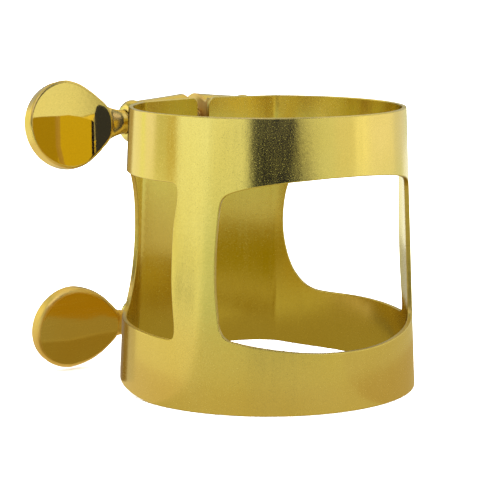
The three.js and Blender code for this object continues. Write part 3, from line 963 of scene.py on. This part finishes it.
def face_card(name, tone, level, gap, outline):
    """A one-sided card parallel to a paddle's front face, gap in front of it.

    The outline holds the points of the face (along the screw axis, across it) that mirror
    the card's corners to the camera.
    """
    axis_y, axis_z = screw_axis(level)
    tilt = math.radians(-PADDLES[level]["tilt"])
    front = Vector((0, -math.cos(tilt), -math.sin(tilt)))
    across = Vector((0, -math.sin(tilt), math.cos(tilt)))
    verts = []
    for along, width in outline:
        point = Vector((-along, axis_y, axis_z)) + front * PADDLE_T / 2 + across * width
        sight = (point * MM - EYE).normalized()
        bounce = sight - front * 2 * sight.dot(front)
        verts.append((point + bounce * (gap / bounce.dot(front))) * MM)
    card(name, tone, verts, [tuple(range(len(verts)))], facing=-front)


# Upright wall: name, azimuths at the foot, azimuths from WALL_KNEE up, tone
WALL_R = 250
WALL_KNEE, WALL_TOP, HIGH_TOP = 22, 60, 150
CEILING_R, CEILING_Z = 120, 300
WALL = [
    ("back", (165, 195), (165, 195), (0, 0, 0)),
    ("back_left", (-165, -139), (-165, -139), (0.19, 0.19, 0.18)),
    ("left_rear", (-139, -117), (-139, -117), (0.98, 1.00, 0.37)),
    ("left_mid", (-117, -102), (-117, -102), (1.04, 0.94, 0.75)),
    ("left", (-102, -87), (-102, -87), (0.66, 0.60, 0.26)),
    ("left_strip", (-87, -76.3), (-87, -76.3), (0.61, 0.46, 0.10)),
    ("front_left", (-76.3, -45), (-76.3, -45), (1.08, 1.12, 0.87)),
    ("front_mid", (-45, -15.2), (-45, -13.8), (0.97, 0.96, 0.63)),
    ("dark_left", (-15.2, 2), (-13.8, 2), (0, 0, 0.03)),
    ("dark", (2, 44), (2, 22.5), (0, 0, 0.04)),
    ("front_right", (44, 54), (22.5, 54), (0.82, 0.80, 0.52)),
    ("right_a", (54, 73), (54, 73), (0.89, 0.81, 0.52)),
    ("right_b", (73, 88), (73, 88), (1.18, 1.09, 0.74)),
    ("right_c", (88, 121.5), (88, 121.5), (1.08, 0.98, 0.77)),
    ("right_d", (121.5, 148), (121.5, 148), (0.84, 0.79, 0.67)),
    ("back_right", (148, 165), (148, 165), (0.80, 0.80, 0.55)),
]
for word, foot, over, tone in WALL:
    knee = (WALL_R, WALL_KNEE)
    ring_card(f"wall_{word}", tone, foot, (WALL_R, 0), knee, over)
    ring_card(f"wall_{word}_over", tone, over, knee, (WALL_R, WALL_TOP))

# Above the wall: name, azimuths, tone of the upright part, tone of the part leaning in
HIGH = [
    ("front_left", (-60, -5), (0, 0.01, 0.01), (0.85, 0.72, 0.70)),
    ("front_right", (-5, 60), (0.96, 0.91, 0.64), (0.01, 0.01, 0)),
    ("right", (60, 130), (0.49, 0.46, 0.30), (0.82, 0.76, 0.53)),
    ("back", (130, 230), (0.47, 0.47, 0.47), (0.77, 0.62, 0.23)),
    ("left", (-130, -60), (1.25, 1.10, 0.53), (0.43, 0.42, 0.16)),
]
for word, span, high, top in HIGH:
    ring_card(f"high_{word}", high, span, (WALL_R, WALL_TOP), (WALL_R, HIGH_TOP))
    ring_card(f"top_{word}", top, span, (WALL_R, HIGH_TOP), (CEILING_R, CEILING_Z))
ring_card("ceiling", (0, 0.01, 0), (-180, 180), (CEILING_R, CEILING_Z), (0.5, CEILING_Z))

# Floor cards: name, azimuths, tones of the near, mid and far rings
FLOOR_Z, FLOOR_PATCH_Z = -0.02, -0.01
BAND_EDGE = 13.6            # radius that parts the cards inside and outside the band
FLOOR_RINGS = [("near", BAND_EDGE, 30), ("mid", 30, 75), ("far", 75, WALL_R)]
FLOOR = [
    ("front", (-50, 50), ((0.61, 0.50, 0.24), (0.64, 0.55, 0.26), (0.57, 0.63, 0.34))),
    ("right", (50, 140), ((0.54, 0.40, 0.17), (0.61, 0.51, 0.26), (0.75, 0.77, 0.45))),
    ("back", (140, 220), ((0.20, 0.15, 0.04), (0.52, 0.50, 0.42), (1.10, 1.12, 1.05))),
    ("left", (-140, -50), ((0.72, 0.57, 0.32), (0.85, 0.74, 0.42), (1.00, 0.98, 0.58))),
]
for word, span, tones in FLOOR:
    for (ring, r0, r1), tone in zip(FLOOR_RINGS, tones):
        ring_card(f"floor_{ring}_{word}", tone, span, (r0, FLOOR_Z), (r1, FLOOR_Z))
ring_card("floor_dark", (0, 0, 0.01), (-14, 34), (170, FLOOR_PATCH_Z),
          (WALL_R, FLOOR_PATCH_Z), (-14, 40))
# a black card that only the metal sees, making a dark patch in the floor it reflects
ring_card("floor_dark_patch", (0, 0, 0), (-73, -55), (97, FLOOR_PATCH_Z), (121, FLOOR_PATCH_Z))

# Low screens inside the band that face the bore: name, azimuths, low, high and top tones
SCREEN_R = 12.9
SCREEN_PARTS = [("low", (SCREEN_R, 2.6), (13.1, 0)), ("high", (SCREEN_R, 7.2), (SCREEN_R, 2.6)),
                ("top", (SCREEN_R, 9.1), (SCREEN_R, 7.2))]
SCREENS = [
    ("left", (-22, 15), ((0.41, 0.31, 0.06), (0.33, 0.23, 0.01), (0.60, 0.45, 0.14))),
    ("mid", (15, 50), ((0.41, 0.31, 0.06), (0.33, 0.23, 0.01), (0.55, 0.41, 0.12))),
    ("right", (50, 100), ((0.46, 0.36, 0.08), (0.31, 0.22, 0), (0.33, 0.21, 0))),
]
for word, span, tones in SCREENS:
    for (part, upper_edge, lower_edge), tone in zip(SCREEN_PARTS, tones):
        ring_card(f"screen_{part}_{word}", tone, span, upper_edge, lower_edge, inward=True)
# floor inside the band: name, tone, azimuths, inner radius, z
for word, tone, span, inner_r, z in (
        ("front", (0.53, 0.44, 0.12), (-90, 90), 0.2, FLOOR_Z),
        ("back", (0.36, 0.27, 0.06), (90, 270), 0.2, FLOOR_Z),
        ("gold", (0.26, 0.16, 0), (35, 90), 8.3, FLOOR_PATCH_Z)):
    ring_card(f"floor_inside_{word}", tone, span, (BAND_EDGE, z), (inner_r, z))

# Cards mirrored in the paddles' faces: paddle, name, tone, gap, outline
LOWER_LINE = [
    (19.2, 1.9), (17.3, 1.78), (16.2, 1.72), (15.2, 1.5), (14.1, 1.28), (12.3, 1.05),
    (11.6, 1.12), (11.0, 1.22), (10.2, 1.15), (9.4, 0.9), (8.0, 0.6)]
FACE_CARDS = [
    ("upper", "gold_dark", (0.43, 0.27, 0.01), 2.0,
     [(18.9, 0.78), (16.2, 0.86), (14.8, 0.84), (15.4, -4.6), (19.6, -4.6)]),
    ("upper", "gold_soft_a", (0.46, 0.28, 0.06), 1.98,
     [(15.1, 0.845), (14.85, 0.84), (15.1, -2.0), (14.75, -4.6), (15.0, -4.6), (15.35, -2.0)]),
    ("upper", "gold_soft_b", (0.50, 0.31, 0.07), 1.98,
     [(14.85, 0.84), (14.6, 0.85), (14.85, -2.0), (14.5, -4.6), (14.75, -4.6), (15.1, -2.0)]),
    ("upper", "gold", (0.66, 0.45, 0.02), 2.0,
     [(14.8, 0.84), (13.7, 0.89), (12.5, 0.68), (11.3, 0.29), (11.75, -4.6), (15.4, -4.6)]),
    ("upper", "dark_strip", (0, 0, 0.02), 2.0,
     [(11.3, 0.29), (11.05, 0.1), (11.45, -4.6), (11.75, -4.6)]),
    ("upper", "thin_line", (0.37, 0.32, 0.22), 2.0,
     [(11.05, 0.4), (10.87, 0.7), (11.05, -1.7), (11.2, -1.7)]),
    ("upper", "black", (0.04, 0.04, 0.06), 2.0,
     [(10.87, 0.9), (10.6, 1.55), (10.3, 1.72), (9.8, 1.55), (9.2, 1.05), (8.85, 0.3),
      (8.85, -0.5), (9.2, -1.5), (10.2, -3.2), (11.45, -4.6), (11.05, -1.7)]),
    ("lower", "orange", (0.41, 0.23, 0.01), 2.0, LOWER_LINE + [(8.0, 5.6), (19.2, 5.6)]),
    ("lower", "olive", (0.38, 0.29, 0.10), 2.0, LOWER_LINE + [(8.0, -1.4), (19.2, -1.4)]),
    ("lower", "brown_soft", (0.42, 0.32, 0.11), 0.8,
     [(19.2, -0.55), (16.5, -0.65), (14.0, -0.8), (11.0, -0.5), (8.0, -0.4), (8.0, -0.6),
      (11.0, -0.7), (14.0, -1.0), (16.5, -0.85), (19.2, -0.75)]),
    ("lower", "brown", (0.33, 0.23, 0.05), 0.8,
     [(19.2, -0.75), (16.5, -0.85), (14.0, -1.0), (11.0, -0.7), (8.0, -0.6), (8.0, -5.6),
      (19.2, -5.6)]),
]
for level, word, tone, gap, outline in FACE_CARDS:
    face_card(f"{level}_{word}", tone, level, gap, outline)

# Upright strips: name, y, x span, z span, tone
for word, y, x_span, z_span, tone in (
        ("upper_dark", 21, (-10.9, -11.5), (15, 27.5), (0.02, 0.01, 0)),
        ("upper_tan", 21, (-11.5, -12.9), (15, 27.5), (0.44, 0.31, 0.10)),
        ("upper_pale", 21, (-12.9, -15.6), (15, 27.5), (1.01, 0.94, 0.62)),
        ("lower_dark", 22, (-11.2, -12.6), (0, 12), (0.29, 0.21, 0.14)),
        ("lower_tan", 22, (-12.6, -14.2), (0, 12), (0.27, 0.16, 0.03)),
        ("lower_pale", 22, (-14.2, -16.8), (0, 12), (0.62, 0.51, 0.30))):
    side_card(f"side_{word}", tone, y, x_span, z_span)


# ---------------------------------------------------------- world and light
def build_world():
    """White surroundings, brighter for diffuse rays so that floor shadows stay faint."""
    metal_strength, diffuse_extra = 1.35, 1.6
    world = bpy.data.worlds.new("studio")
    bpy.context.scene.world = world
    world.use_nodes = True
    nodes, links = world.node_tree.nodes, world.node_tree.links
    background = nodes["Background"]
    background.inputs["Color"].default_value = rgba(1.0, 0.995, 0.98)
    path = nodes.new("ShaderNodeLightPath")
    strength = nodes.new("ShaderNodeMath")
    strength.operation = "MULTIPLY_ADD"
    links.new(path.outputs["Is Diffuse Ray"], strength.inputs[0])
    strength.inputs[1].default_value = diffuse_extra
    strength.inputs[2].default_value = metal_strength
    links.new(strength.outputs[0], background.inputs["Strength"])


def build_light():
    """A soft rectangle overhead; metres and watts."""
    place, target = Vector((-0.05, -0.02, 0.45)), Vector((0, 0.012, 0))
    light = bpy.data.lights.new("overhead", "AREA")
    light.shape = "RECTANGLE"
    light.size, light.size_y = 0.5, 0.4
    light.energy = 1.6
    ob = bpy.data.objects.new("overhead", light)
    ob.location = place
    ob.rotation_euler = (target - place).to_track_quat("-Z", "Y").to_euler()
    bpy.context.scene.collection.objects.link(ob)


build_world()
build_light()

# ------------------------------------------------------------------- camera
camera_data = bpy.data.cameras.new("camera")
camera = link_object("camera", camera_data)
camera.matrix_world = Matrix((
    (RIGHT.x, UP.x, -FWD.x, EYE.x),
    (RIGHT.y, UP.y, -FWD.y, EYE.y),
    (RIGHT.z, UP.z, -FWD.z, EYE.z),
    (0, 0, 0, 1),
))
camera_data.sensor_fit = "HORIZONTAL"
camera_data.sensor_width = 36.0
camera_data.lens = 140.112
camera_data.clip_start = 0.005
camera_data.clip_end = 50
scene = bpy.context.scene
scene.camera = camera
scene.view_settings.view_transform = "Standard"
scene.view_settings.look = "None"
